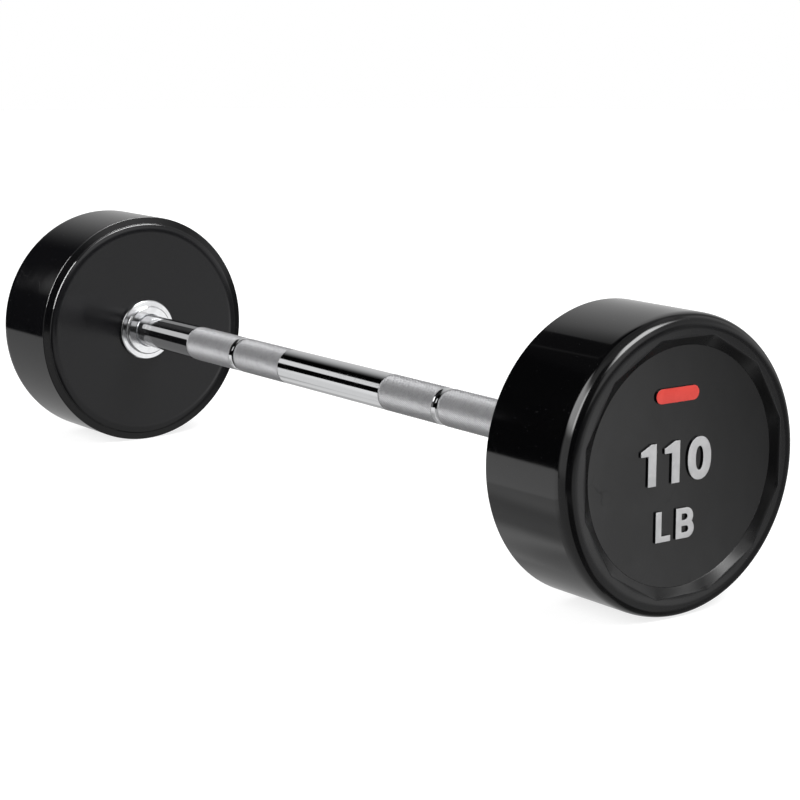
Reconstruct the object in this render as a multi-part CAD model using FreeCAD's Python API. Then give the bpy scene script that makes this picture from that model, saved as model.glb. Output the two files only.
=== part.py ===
import FreeCAD, Part
import math
import os

# A fixed barbell: one steel bar with a knurled grip, and a weight head bolted on each end.
# Lengths are in millimetres. The bar lies along X, Z is up, the origin is the bar's middle.
# Each head is drawn at the +X end. A half turn about Z puts the same head on the -X end.

# Whole barbell
head_gap = 698.0              # between the inner faces of the two heads

# Bar
bar_diameter = 32.0
knurl_height = 0.3            # the crests of the knurling stand this proud of the bar
knurl_runout = 0.6            # short cone where a knurled band ends
middle_plain_length = 158.0   # smooth stretch in the middle of the grip
inner_knurl_length = 76.5     # knurled band between the middle and the marker ring
marker_ring_width = 8.0       # smooth ring that shows where to put the hands
outer_knurl_length = 78.5     # knurled band outside the marker ring
spigot_shoulder = 2.0         # the bar's ends are turned down by this to enter the heads
spigot_chamfer = 1.5

# Head
head_diameter = 228.0
head_width = 95.5
inner_edge_radius = 4.5       # tight round between the wall and the inner face
inner_edge_drop = 1.0         # how far the inner face falls away towards that round
inner_edge_slope_width = 8.5  # sloping ring between that round and the flat inner face
outer_edge_radius = 10.0      # large round between the wall and the outer rim
rim_width = 7.7               # flat of the outer rim, up to a straight side of the recess

# Recess in the outer face: twelve straight sides at the rim, a circle at its floor
recess_sides = 12
recess_slope_width = 6.0      # from a straight side in to the floor's circle
recess_depth = 4.7

# Steel core inside the moulded jacket
jacket_wall = 8.0             # jacket round the core
core_inner_cover = 7.5        # jacket over the core's inner face
core_chamfer = 3.0
lock_groove_width = 14.0      # groove that the moulding flows into
lock_groove_depth = 3.0
spigot_clearance = 0.05       # gap all round the spigot in its bore
spigot_end_gap = 0.5          # gap past the spigot's end
core_web = 15.8               # steel between the spigot's bore and the counterbore
washer_clearance = 1.0        # gap round the flat washer in the counterbore
bolt_head_gap = 1.0           # gap between the bolt's head and the face plate

# Face plate that closes the recess
plate_thickness = 4.0
plate_edge_gap = 0.1
plate_chamfer = 0.5

# Collar where the bar enters the head
collar_register_diameter = 54.0   # neck that fills the hole in the jacket
collar_flange_lip = 3.0           # the flange covers the jacket round the hole by this
collar_flange_thickness = 4.0
collar_boss_wall = 8.2            # boss round the bar
collar_boss_height = 4.0
collar_edge_chamfer = 0.8

# Draw bolt, M16 socket head, and its washers
bolt_thread_diameter = 16.0
bolt_length = 55.0            # under the head
bolt_tip_chamfer = 1.5
bolt_head_diameter = 24.0
bolt_head_height = 16.0
bolt_head_chamfer = 1.0
bolt_socket_width = 14.0      # across flats
bolt_socket_depth = 8.0
socket_sides = 6
bolt_hole_clearance = 0.5     # gap round the bolt in the core and the washers
tapped_hole_runout = 4.3      # thread past the bolt's tip
drill_point_depth = 4.0
flat_washer_diameter = 44.0
flat_washer_thickness = 5.0
lock_washer_diameter = 27.4
lock_washer_thickness = 4.0
lock_washer_slit = 2.5

# Keys: round pins, half in the spigot and half in the core, that stop the head from turning
key_count = 2
key_diameter = 8.0
key_end_gap = 5.5             # the keys stop this short of the spigot's end

# Raised marks on the face plate
mark_raise = 1.7              # height above the plate
mark_seat = 0.8               # depth of the pocket each mark sits in
mark_shift = -6.4             # marks stand this far to the side of the head's centre
weight_digits = "110"
digit_height = 31.5
digit_gap = 8.1
digit_baseline = -11.0        # height of the digits' feet above the bar's axis
one_width = 15.0
one_stem = 7.8
one_top = 5.0
one_flag_drop = 4.8           # from the top of the one to the tip of its flag
one_flag_thickness = 3.8
zero_width = 23.3
zero_side_stroke = 7.9
zero_end_stroke = 7.2
zero_overshoot = 0.5
letter_height = 23.0
letter_baseline = -53.9
letter_gap = 5.5
letter_stem = 5.6
letter_stroke = 4.4
l_width = 14.5
b_width = 18.0
b_upper_inset = 1.0           # the upper bowl stands back from the lower one
bar_mark_width = 42.0
bar_mark_height = 11.0
bar_mark_centre = 54.6

# Shape shares: how full an oval is, as the reach of its curve handles
oval_side_share = 0.66
oval_end_share = 0.56

full_turn = 360.0
half_turn = 180.0
diagonal_share = math.sqrt(0.5)

# Places along the bar that several pieces share
inner_face_x = head_gap / 2
outer_rim_x = inner_face_x + head_width
core_inner_x = inner_face_x + core_inner_cover
panel_x = outer_rim_x - recess_depth
core_outer_x = panel_x - plate_thickness
bolt_head_x = core_outer_x - bolt_head_gap
bolt_seat_x = bolt_head_x - bolt_head_height
lock_washer_x = bolt_seat_x - lock_washer_thickness
counterbore_x = lock_washer_x - flat_washer_thickness
bore_end_x = counterbore_x - core_web
spigot_end_x = bore_end_x - spigot_end_gap
bolt_tip_x = bolt_seat_x - bolt_length

# Diameters that follow from the sizes above
spigot_diameter = bar_diameter - 2 * spigot_shoulder
core_diameter = head_diameter - 2 * jacket_wall
rim_diameter = head_diameter - 2 * outer_edge_radius
recess_width_over_flats = rim_diameter - 2 * rim_width
recess_floor_diameter = recess_width_over_flats - 2 * recess_slope_width
bolt_hole_diameter = bolt_thread_diameter + 2 * bolt_hole_clearance

origin = FreeCAD.Vector(0, 0, 0)
along_bar = FreeCAD.Vector(1, 0, 0)
upwards = FreeCAD.Vector(0, 0, 1)


# Drawing helpers

def line(start, end):
    return Part.LineSegment(start, end).toShape()


def arc(start, middle, end):
    return Part.Arc(start, middle, end).toShape()


def section_point(x, radius):
    return FreeCAD.Vector(x, 0, radius)


def closed_lines(points):
    return Part.makePolygon(points + points[:1])


def turned(wire):
    return Part.Face(wire).revolve(origin, along_bar, full_turn)


def turned_outline(places):
    points = [section_point(x, radius) for x, radius in places]
    return turned(closed_lines(points))


def rod(diameter, start_x, end_x):
    start = FreeCAD.Vector(start_x, 0, 0)
    return Part.makeCylinder(diameter / 2, end_x - start_x, start, along_bar)


def polar(x, radius, degrees):
    angle = math.radians(degrees)
    return FreeCAD.Vector(x, radius * math.cos(angle), radius * math.sin(angle))


def flat_sided_prism(sides, across_flats, start_x, end_x):
    step = full_turn / sides
    corner_radius = across_flats / 2 / math.cos(math.radians(step / 2))
    corners = [polar(start_x, corner_radius, step * i) for i in range(sides)]
    return Part.Face(closed_lines(corners)).extrude(along_bar * (end_x - start_x))


# Bar

def bar_places():
    bar_radius = bar_diameter / 2
    knurl_radius = bar_radius + knurl_height
    spigot_radius = spigot_diameter / 2
    inner_start = middle_plain_length / 2
    inner_end = inner_start + inner_knurl_length
    outer_start = inner_end + marker_ring_width
    outer_end = outer_start + outer_knurl_length
    places = []
    for start, end in ((inner_start, inner_end), (outer_start, outer_end)):
        places.append((start, bar_radius))
        places.append((start + knurl_runout, knurl_radius))
        places.append((end - knurl_runout, knurl_radius))
        places.append((end, bar_radius))
    places.append((core_inner_x, bar_radius))
    places.append((core_inner_x, spigot_radius))
    places.append((spigot_end_x - spigot_chamfer, spigot_radius))
    places.append((spigot_end_x, spigot_radius - spigot_chamfer))
    places.append((spigot_end_x, 0))
    return places


def tapped_hole():
    hole_radius = bolt_thread_diameter / 2
    bottom_x = bolt_tip_x - tapped_hole_runout
    places = [(spigot_end_x, 0), (spigot_end_x, hole_radius), (bottom_x, hole_radius),
              (bottom_x - drill_point_depth, 0)]
    return turned_outline(places)


def make_bar():
    right_half = bar_places()
    left_half = [(-x, radius) for x, radius in reversed(right_half)]
    bar = turned_outline(left_half + right_half)
    for cutter in (tapped_hole(), make_key_pins()):
        bar = bar.cut(cutter).cut(other_end(cutter))
    return bar


# Head, as one outer form: the jacket and everything in it is cut from this

def head_form():
    wall_radius = head_diameter / 2
    crown_radius = wall_radius - inner_edge_radius
    face_radius = crown_radius - inner_edge_slope_width
    crown_x = inner_face_x + inner_edge_drop
    inner_centre_x = crown_x + inner_edge_radius
    inner_middle = section_point(inner_centre_x - inner_edge_radius * diagonal_share,
                                 crown_radius + inner_edge_radius * diagonal_share)
    rim_radius = rim_diameter / 2
    outer_centre_x = outer_rim_x - outer_edge_radius
    outer_middle = section_point(outer_centre_x + outer_edge_radius * diagonal_share,
                                 rim_radius + outer_edge_radius * diagonal_share)
    face_centre = section_point(inner_face_x, 0)
    face_edge = section_point(inner_face_x, face_radius)
    crown = section_point(crown_x, crown_radius)
    wall_start = section_point(inner_centre_x, wall_radius)
    wall_end = section_point(outer_centre_x, wall_radius)
    rim_edge = section_point(outer_rim_x, rim_radius)
    rim_centre = section_point(outer_rim_x, 0)
    edges = [line(face_centre, face_edge), line(face_edge, crown),
             arc(crown, inner_middle, wall_start), line(wall_start, wall_end),
             arc(wall_end, outer_middle, rim_edge), line(rim_edge, rim_centre),
             line(rim_centre, face_centre)]
    return turned(Part.Wire(edges))


def recess_form():
    step = full_turn / recess_sides
    corner_radius = recess_width_over_flats / 2 / math.cos(math.radians(step / 2))
    floor_radius = recess_floor_diameter / 2
    angles = [step * (i + 1 / 2) for i in range(recess_sides)]
    corners = [polar(outer_rim_x, corner_radius, angle) for angle in angles]
    floor_edges = []
    for angle in angles:
        floor_edges.append(arc(polar(panel_x, floor_radius, angle),
                               polar(panel_x, floor_radius, angle + step / 2),
                               polar(panel_x, floor_radius, angle + step)))
    sloping = Part.makeLoft([closed_lines(corners), Part.Wire(floor_edges)], True, True)
    return sloping


# Steel core

def core_form():
    radius = core_diameter / 2
    middle_x = (core_inner_x + core_outer_x) / 2
    groove_start = middle_x - lock_groove_width / 2
    groove_end = middle_x + lock_groove_width / 2
    groove_radius = radius - lock_groove_depth
    places = [(core_inner_x, 0), (core_inner_x, radius - core_chamfer),
              (core_inner_x + core_chamfer, radius),
              (groove_start - lock_groove_depth, radius), (groove_start, groove_radius),
              (groove_end, groove_radius), (groove_end + lock_groove_depth, radius),
              (core_outer_x - core_chamfer, radius),
              (core_outer_x, radius - core_chamfer), (core_outer_x, 0)]
    return turned_outline(places)


def make_core():
    bore_diameter = spigot_diameter + 2 * spigot_clearance
    bore = rod(bore_diameter, core_inner_x, bore_end_x)
    bolt_hole = rod(bolt_hole_diameter, core_inner_x, core_outer_x)
    counterbore_diameter = flat_washer_diameter + 2 * washer_clearance
    counterbore = rod(counterbore_diameter, counterbore_x, core_outer_x)
    core = core_form()
    for cutter in (bore, bolt_hole, counterbore, make_key_pins()):
        core = core.cut(cutter)
    return core


# Moulded jacket and face plate

def make_jacket():
    collar_hole = rod(collar_register_diameter, inner_face_x, core_inner_x)
    plate_hole = rod(recess_floor_diameter, core_outer_x, panel_x)
    jacket = head_form()
    for cutter in (core_form(), collar_hole, plate_hole, recess_form()):
        jacket = jacket.cut(cutter)
    return jacket


def make_face_plate():
    radius = recess_floor_diameter / 2 - plate_edge_gap
    places = [(core_outer_x, 0), (core_outer_x, radius - plate_chamfer),
              (core_outer_x + plate_chamfer, radius), (panel_x, radius), (panel_x, 0)]
    plate = turned_outline(places)
    for mark in (make_weight_number(), make_unit_letters(), make_bar_mark()):
        plate = plate.cut(mark)
    return plate


# Collar

def make_collar():
    bar_radius = bar_diameter / 2
    register_radius = collar_register_diameter / 2
    flange_radius = register_radius + collar_flange_lip
    boss_radius = bar_radius + collar_boss_wall
    flange_x = inner_face_x - collar_flange_thickness
    boss_x = flange_x - collar_boss_height
    chamfer = collar_edge_chamfer
    places = [(boss_x, bar_radius + chamfer), (boss_x, boss_radius - chamfer),
              (boss_x + chamfer, boss_radius), (flange_x, boss_radius),
              (flange_x, flange_radius - chamfer), (flange_x + chamfer, flange_radius),
              (inner_face_x, flange_radius), (inner_face_x, register_radius),
              (core_inner_x, register_radius), (core_inner_x, bar_radius),
              (boss_x + chamfer, bar_radius)]
    return turned_outline(places)


# Fasteners and keys

def make_draw_bolt():
    shank_radius = bolt_thread_diameter / 2
    head_radius = bolt_head_diameter / 2
    places = [(bolt_tip_x, 0), (bolt_tip_x, shank_radius - bolt_tip_chamfer),
              (bolt_tip_x + bolt_tip_chamfer, shank_radius), (bolt_seat_x, shank_radius),
              (bolt_seat_x, head_radius), (bolt_head_x - bolt_head_chamfer, head_radius),
              (bolt_head_x, head_radius - bolt_head_chamfer), (bolt_head_x, 0)]
    socket = flat_sided_prism(socket_sides, bolt_socket_width,
                              bolt_head_x - bolt_socket_depth, bolt_head_x)
    return turned_outline(places).cut(socket)


def make_flat_washer():
    disc = rod(flat_washer_diameter, counterbore_x, lock_washer_x)
    return disc.cut(rod(bolt_hole_diameter, counterbore_x, lock_washer_x))


def make_lock_washer():
    disc = rod(lock_washer_diameter, lock_washer_x, bolt_seat_x)
    ring = disc.cut(rod(bolt_hole_diameter, lock_washer_x, bolt_seat_x))
    corner = FreeCAD.Vector(lock_washer_x, -lock_washer_slit / 2, 0)
    slit = Part.makeBox(lock_washer_thickness, lock_washer_slit, lock_washer_diameter, corner)
    return ring.cut(slit)


def make_key_pins():
    key_length = spigot_end_x - key_end_gap - core_inner_x
    pins = []
    for i in range(key_count):
        foot = polar(core_inner_x, spigot_diameter / 2, full_turn * i / key_count)
        pins.append(Part.makeCylinder(key_diameter / 2, key_length, foot, along_bar))
    return Part.makeCompound(pins)


# Raised marks: drawn as seen from outside the head, to the right and up

def mark_point(across, up):
    return FreeCAD.Vector(panel_x - mark_seat, across, up)


def raised(outer, holes=()):
    thickness = along_bar * (mark_seat + mark_raise)
    mark = Part.Face(outer).extrude(thickness)
    for hole in holes:
        mark = mark.cut(Part.Face(hole).extrude(thickness))
    return mark


def straight_outline(places):
    return closed_lines([mark_point(across, up) for across, up in places])


def curve(poles):
    bezier = Part.BezierCurve()
    bezier.setPoles([mark_point(across, up) for across, up in poles])
    return bezier.toShape()


def oval_outline(across, up, width, height):
    reach = width / 2
    rise = height / 2
    side = rise * oval_side_share
    end = reach * oval_end_share
    edges = []
    for turn, swap in ((1, 1), (-1, 1), (-1, -1), (1, -1)):
        poles = [(across + reach * turn, up), (across + reach * turn, up + side * swap),
                 (across + end * turn, up + rise * swap), (across, up + rise * swap)]
        if turn != swap:
            poles.reverse()
        edges.append(curve(poles))
    return Part.Wire(edges)


def digit_one(left):
    right = left + one_width
    flag_top = digit_height - one_flag_drop
    flag_bottom = flag_top - one_flag_thickness
    places = [(right, 0), (right, digit_height), (right - one_top, digit_height),
              (left, flag_top), (left, flag_bottom),
              (right - one_stem, flag_bottom), (right - one_stem, 0)]
    return raised(straight_outline([(x, up + digit_baseline) for x, up in places]))


def digit_zero(left):
    across = left + zero_width / 2
    up = digit_baseline + digit_height / 2
    height = digit_height + 2 * zero_overshoot
    outer = oval_outline(across, up, zero_width, height)
    inner = oval_outline(across, up, zero_width - 2 * zero_side_stroke,
                         height - 2 * zero_end_stroke)
    return raised(outer, [inner])


def make_weight_number():
    widths = {"1": one_width, "0": zero_width}
    drawers = {"1": digit_one, "0": digit_zero}
    total = sum(widths[digit] for digit in weight_digits)
    total += digit_gap * (len(weight_digits) - 1)
    left = mark_shift - total / 2
    digits = []
    for digit in weight_digits:
        digits.append(drawers[digit](left))
        left += widths[digit] + digit_gap
    return Part.makeCompound(digits)


def letter_l(left):
    top = letter_baseline + letter_height
    places = [(left, letter_baseline), (left + l_width, letter_baseline),
              (left + l_width, letter_baseline + letter_stroke),
              (left + letter_stem, letter_baseline + letter_stroke),
              (left + letter_stem, top), (left, top)]
    return raised(straight_outline(places))


def bowl_outline(left, right, bottom, top):
    radius = (top - bottom) / 2
    bend = right - radius
    lower = mark_point(bend, bottom)
    upper = mark_point(bend, top)
    edges = [line(mark_point(left, bottom), lower),
             arc(lower, mark_point(right, bottom + radius), upper),
             line(upper, mark_point(left, top)),
             line(mark_point(left, top), mark_point(left, bottom))]
    return Part.Wire(edges)


def letter_b(left):
    bottom = letter_baseline
    top = bottom + letter_height
    waist_low = bottom + (letter_height - letter_stroke) / 2
    waist_high = waist_low + letter_stroke
    lower_right = left + b_width
    upper_right = lower_right - b_upper_inset
    lower = raised(bowl_outline(left, lower_right, bottom, waist_high))
    upper = raised(bowl_outline(left, upper_right, waist_low, top))
    stem_side = left + letter_stem
    lower_hole = bowl_outline(stem_side, lower_right - letter_stem,
                              bottom + letter_stroke, waist_low)
    upper_hole = bowl_outline(stem_side, upper_right - letter_stem,
                              waist_high, top - letter_stroke)
    letter = lower.fuse(upper).removeSplitter()
    for hole in (lower_hole, upper_hole):
        letter = letter.cut(raised(hole))
    return letter


def make_unit_letters():
    total = l_width + letter_gap + b_width
    left = mark_shift - total / 2
    return Part.makeCompound([letter_l(left), letter_b(left + l_width + letter_gap)])


def make_bar_mark():
    radius = bar_mark_height / 2
    left = mark_shift - bar_mark_width / 2
    right = mark_shift + bar_mark_width / 2
    bottom = bar_mark_centre - radius
    top = bar_mark_centre + radius
    edges = [line(mark_point(left + radius, bottom), mark_point(right - radius, bottom)),
             arc(mark_point(right - radius, bottom), mark_point(right, bar_mark_centre),
                 mark_point(right - radius, top)),
             line(mark_point(right - radius, top), mark_point(left + radius, top)),
             arc(mark_point(left + radius, top), mark_point(left, bar_mark_centre),
                 mark_point(left + radius, bottom))]
    return raised(Part.Wire(edges))


# Both ends

def other_end(shape):
    turned_copy = shape.copy()
    turned_copy.rotate(origin, upwards, half_turn)
    return turned_copy


def save(node, shape):
    solids = shape.Solids
    whole = solids[0] if len(solids) == 1 else Part.makeCompound(solids)
    whole.exportStep("parts/" + node + ".step")


def main():
    os.makedirs("parts", exist_ok=True)
    save("bar", make_bar())
    head_pieces = {
        "collar": make_collar(),
        "core": make_core(),
        "jacket": make_jacket(),
        "face_plate": make_face_plate(),
        "weight_number": make_weight_number(),
        "unit_letters": make_unit_letters(),
        "colour_bar": make_bar_mark(),
        "draw_bolt": make_draw_bolt(),
        "flat_washer": make_flat_washer(),
        "lock_washer": make_lock_washer(),
        "key_pins": make_key_pins(),
    }
    for name, piece in head_pieces.items():
        save("right_" + name, piece)
        save("left_" + name, other_end(piece))


main()
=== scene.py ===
# Looks of the fixed barbell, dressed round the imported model.
# The bar lies along X, Z is up. The pieces' dictionaries are in millimetres and the studio's
# in metres.
import math

import bmesh
import bpy
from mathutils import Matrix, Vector


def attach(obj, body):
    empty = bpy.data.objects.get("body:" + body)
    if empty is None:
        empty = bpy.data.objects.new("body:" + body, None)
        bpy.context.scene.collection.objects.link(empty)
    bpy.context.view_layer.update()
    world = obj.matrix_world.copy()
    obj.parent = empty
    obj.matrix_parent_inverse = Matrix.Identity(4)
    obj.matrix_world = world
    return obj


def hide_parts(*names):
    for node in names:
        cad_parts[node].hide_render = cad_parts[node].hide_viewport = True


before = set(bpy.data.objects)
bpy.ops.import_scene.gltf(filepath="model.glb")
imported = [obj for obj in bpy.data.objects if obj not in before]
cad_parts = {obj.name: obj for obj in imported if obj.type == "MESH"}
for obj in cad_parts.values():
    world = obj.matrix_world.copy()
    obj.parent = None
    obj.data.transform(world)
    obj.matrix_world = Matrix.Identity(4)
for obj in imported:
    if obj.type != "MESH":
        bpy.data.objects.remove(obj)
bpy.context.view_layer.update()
mm = 0.001
fullTurn = 2 * math.pi
print("frame loaded")


# small helpers for nodes

def plug(tree, value, socket):
    if isinstance(value, bpy.types.NodeSocket):
        tree.links.new(value, socket)
    else:
        socket.default_value = value


def addNode(tree, kind, values=None, **settings):
    made = tree.nodes.new(kind)
    for name, value in settings.items():
        setattr(made, name, value)
    for name, value in (values or {}).items():
        plug(tree, value, made.inputs[name])
    return made


def calc(tree, operation, *terms):
    return addNode(tree, "ShaderNodeMath", dict(enumerate(terms)),
                   operation=operation).outputs[0]


# total plus each mask times its share
def addShares(tree, total, *shares):
    for mask, share in shares:
        total = calc(tree, "MULTIPLY_ADD", mask, share, total)
    return total


# first below low, last above high, smooth between
def fade(tree, value, low, high, first=0.0, last=1.0):
    return addNode(tree, "ShaderNodeMapRange", {
        "Value": value, "From Min": low, "From Max": high, "To Min": first,
        "To Max": last}, interpolation_type="SMOOTHSTEP").outputs["Result"]


# the colour sockets of a Mix node are its inputs 6 and 7 and its output 2
def blendColour(tree, share, first, second):
    return addNode(tree, "ShaderNodeMix", {0: share, 6: first, 7: second},
                   data_type="RGBA").outputs[2]


def newGroup(name, inputs, outputs, kindOfTree="ShaderNodeTree"):
    tree = bpy.data.node_groups.new(name, kindOfTree)
    for label, kind, value in inputs:
        socket = tree.interface.new_socket(label, in_out="INPUT", socket_type=kind)
        if value is not None:
            socket.default_value = value
    for label, kind in outputs:
        tree.interface.new_socket(label, in_out="OUTPUT", socket_type=kind)
    start = tree.nodes.new("NodeGroupInput").outputs
    end = tree.nodes.new("NodeGroupOutput").inputs
    return tree, start, end


def useGroup(tree, group, values):
    made = addNode(tree, "ShaderNodeGroup")
    made.node_tree = group
    for name, value in values.items():
        plug(tree, value, made.inputs[name])
    return made.outputs


def noise(tree, place, size, **more):
    return addNode(tree, "ShaderNodeTexNoise",
                   {"Vector": place, "Scale": size, **more}).outputs


floatSocket = "NodeSocketFloat"
vectorSocket = "NodeSocketVector"


# shader groups that several finishes share

def makeTurnedPlace():
    tree, start, end = newGroup(
        "turnedPlace", [("Place", vectorSocket, None)],
        [("Along", floatSocket), ("Radius", floatSocket)])
    parts = addNode(tree, "ShaderNodeSeparateXYZ", {"Vector": start["Place"]}).outputs
    along = calc(tree, "MULTIPLY", calc(tree, "ABSOLUTE", parts["X"]), 1 / mm)
    square = calc(tree, "ADD", calc(tree, "MULTIPLY", parts["Y"], parts["Y"]),
                  calc(tree, "MULTIPLY", parts["Z"], parts["Z"]))
    radius = calc(tree, "MULTIPLY", calc(tree, "SQRT", square), 1 / mm)
    tree.links.new(along, end["Along"])
    tree.links.new(radius, end["Radius"])
    return tree


# thin lines along the edges of bent cells, broken up so that only a share of them is left
def makeHairScratches():
    tree, start, end = newGroup(
        "hairScratches",
        [("Place", vectorSocket, None), ("Size", floatSocket, 40.0),
         ("Width", floatSocket, 0.01), ("Share", floatSocket, 0.5)],
        [("Mask", floatSocket)])
    bend = noise(tree, start["Place"], start["Size"], Detail=2.0)["Color"]
    spread = addNode(tree, "ShaderNodeVectorMath", {
        0: bend, "Scale": calc(tree, "DIVIDE", 0.9, start["Size"])}, operation="SCALE")
    moved = addNode(tree, "ShaderNodeVectorMath", {0: start["Place"], 1: spread.outputs[0]},
                    operation="ADD")
    cells = addNode(tree, "ShaderNodeTexVoronoi", {
        "Vector": moved.outputs[0], "Scale": start["Size"]}, feature="DISTANCE_TO_EDGE")
    lines = fade(tree, cells.outputs["Distance"], 0.0, start["Width"], 1.0, 0.0)
    gaps = noise(tree, start["Place"], start["Size"], Detail=3.0)["Fac"]
    kept = fade(tree, gaps, calc(tree, "SUBTRACT", 0.62, calc(
        tree, "MULTIPLY", start["Share"], 0.3)), 0.66)
    tree.links.new(calc(tree, "MULTIPLY", lines, kept), end["Mask"])
    return tree


def makeSoftSmudges():
    tree, start, end = newGroup(
        "softSmudges", [("Place", vectorSocket, None), ("Size", floatSocket, 20.0)],
        [("Value", floatSocket)])
    cloud = noise(tree, start["Place"], start["Size"], Detail=6.0, Roughness=0.6,
                  Distortion=0.6)["Fac"]
    tree.links.new(fade(tree, cloud, 0.35, 0.7), end["Value"])
    return tree


# slow waviness of a moulded skin, with a finer pebble on it
def makeMouldedSkin():
    tree, start, end = newGroup(
        "mouldedSkin", [("Place", vectorSocket, None), ("Wave", floatSocket, 60.0),
                        ("Pebble", floatSocket, 900.0), ("Pebble Share", floatSocket, 0.1)],
        [("Height", floatSocket)])
    wave = noise(tree, start["Place"], start["Wave"], Detail=1.0)["Fac"]
    pebble = noise(tree, start["Place"], start["Pebble"], Detail=2.0)["Fac"]
    share = calc(tree, "MULTIPLY", pebble, start["Pebble Share"])
    tree.links.new(calc(tree, "ADD", wave, share), end["Height"])
    return tree


# fine rings that a lathe tool leaves, on faces and on round sides
def makeTurningMarks():
    tree, start, end = newGroup(
        "turningMarks", [("Along", floatSocket, 0.0), ("Radius", floatSocket, 0.0),
                         ("Pitch", floatSocket, 0.2)], [("Height", floatSocket)])
    line = calc(tree, "DIVIDE", calc(tree, "ADD", start["Along"], start["Radius"]),
                start["Pitch"])
    rings = addNode(tree, "ShaderNodeTexNoise", {
        "W": line, "Scale": 1.0, "Detail": 3.0, "Roughness": 0.7}, noise_dimensions="1D")
    tree.links.new(rings.outputs["Fac"], end["Height"])
    return tree


# a soft dot in a share of small cells
def makeDust():
    tree, start, end = newGroup(
        "dust", [("Place", vectorSocket, None), ("Size", floatSocket, 700.0),
                 ("Share", floatSocket, 0.2)], [("Mask", floatSocket)])
    cells = addNode(tree, "ShaderNodeTexVoronoi", {
        "Vector": start["Place"], "Scale": start["Size"]})
    dots = fade(tree, cells.outputs["Distance"], 0.12, 0.2, 1.0, 0.0)
    chance = addNode(tree, "ShaderNodeSeparateColor", {"Color": cells.outputs["Color"]})
    kept = calc(tree, "LESS_THAN", chance.outputs[0], start["Share"])
    tree.links.new(calc(tree, "MULTIPLY", dots, kept), end["Mask"])
    return tree


turnedPlace = makeTurnedPlace()
hairScratches = makeHairScratches()
softSmudges = makeSoftSmudges()
mouldedSkin = makeMouldedSkin()
turningMarks = makeTurningMarks()
dust = makeDust()


def smudges(tree, place, size):
    return useGroup(tree, softSmudges, {"Place": place, "Size": size})["Value"]


def scratches(tree, place, size, width, share):
    return useGroup(tree, hairScratches, {
        "Place": place, "Size": size, "Width": width, "Share": share})["Mask"]


def latheRings(tree, at, pitch):
    return useGroup(tree, turningMarks, {
        "Along": at["Along"], "Radius": at["Radius"], "Pitch": pitch})["Height"]


# a Principled material: its tree, its shader, the piece's own coordinates, and its place along
# the bar and radius in millimetres
def newMaterial(name, **constants):
    material = bpy.data.materials.new(name)
    material.use_nodes = True
    tree = material.node_tree
    shader = tree.nodes["Principled BSDF"]
    for label, value in constants.items():
        shader.inputs[label.replace("_", " ")].default_value = value
    place = addNode(tree, "ShaderNodeTexCoord").outputs["Object"]
    return material, tree, shader, place, useGroup(tree, turnedPlace, {"Place": place})


def bumpInto(tree, shader, height, distance):
    bump = addNode(tree, "ShaderNodeBump", {"Height": height, "Distance": distance})
    tree.links.new(bump.outputs["Normal"], shader.inputs["Normal"])


# finishes; a pair of places or radii is where an effect starts and where it ends, and
# scratchMarks are the size, width and share of the scratches

# valley is the colour of painted shade in the knurl's grooves
barFinish = {"bright": (0.64, 0.645, 0.655, 1), "crest": (0.42, 0.42, 0.43, 1),
             "valley": (0.24, 0.24, 0.245, 1), "valleyRadii": (15.75, 16.1),
             "knurled": ((79.0, 155.5), (163.5, 242.0)), "polish": 0.045, "smudge": 0.04,
             "smudgeSize": 60.0, "patchSize": 240.0, "scratch": 0.12,
             "scratchMarks": (55.0, 0.012, 0.6), "scratchDip": -0.6,
             "knurlRoughness": 0.44, "turningPitch": 0.35, "turningDepth": 0.0000025}


def makeBarChrome():
    spec = barFinish
    material, tree, shader, place, at = newMaterial("barChrome", Metallic=1.0)
    rolled = 0.0
    for start, end in spec["knurled"]:
        band = calc(tree, "COMPARE", at["Along"], (start + end) / 2, (end - start) / 2)
        rolled = calc(tree, "ADD", rolled, band)
    # painted shade: the knurl's valleys get a darker colour, standing in for the shade in its
    # grooves, stronger in soft patches
    low = fade(tree, at["Radius"], *spec["valleyRadii"], 1.0, 0.0)
    valley = calc(tree, "MULTIPLY", low, rolled)
    stain = smudges(tree, place, spec["smudgeSize"])
    patch = smudges(tree, place, spec["patchSize"])
    paintedValleyShade = calc(tree, "MULTIPLY", valley, calc(tree, "MULTIPLY_ADD", patch, 0.5, 0.5))
    top = blendColour(tree, rolled, spec["bright"], spec["crest"])
    plug(tree, blendColour(tree, paintedValleyShade, top, spec["valley"]), shader.inputs["Base Color"])
    scratch = scratches(tree, place, *spec["scratchMarks"])
    rough = addShares(tree, spec["polish"], (stain, spec["smudge"]),
                      (scratch, spec["scratch"]), (rolled, spec["knurlRoughness"]))
    plug(tree, rough, shader.inputs["Roughness"])
    rings = latheRings(tree, at, spec["turningPitch"])
    height = calc(tree, "MULTIPLY_ADD", scratch, spec["scratchDip"], rings)
    bumpInto(tree, shader, height, spec["turningDepth"])
    return material


collarFinish = {"bright": (0.84, 0.845, 0.855, 1), "stained": (0.74, 0.745, 0.76, 1),
                "polish": 0.07, "turned": 0.08, "smudge": 0.05, "smudgeSize": 70.0,
                "turningPitch": 0.3, "turningDepth": 0.000012}


def makeCollarChrome():
    spec = collarFinish
    material, tree, shader, place, at = newMaterial("collarChrome", Metallic=1.0)
    stain = smudges(tree, place, spec["smudgeSize"])
    plug(tree, blendColour(tree, stain, spec["bright"], spec["stained"]),
         shader.inputs["Base Color"])
    rings = latheRings(tree, at, spec["turningPitch"])
    plug(tree, addShares(tree, spec["polish"], (rings, spec["turned"]),
                         (stain, spec["smudge"])), shader.inputs["Roughness"])
    bumpInto(tree, shader, rings, spec["turningDepth"])
    return material


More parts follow.
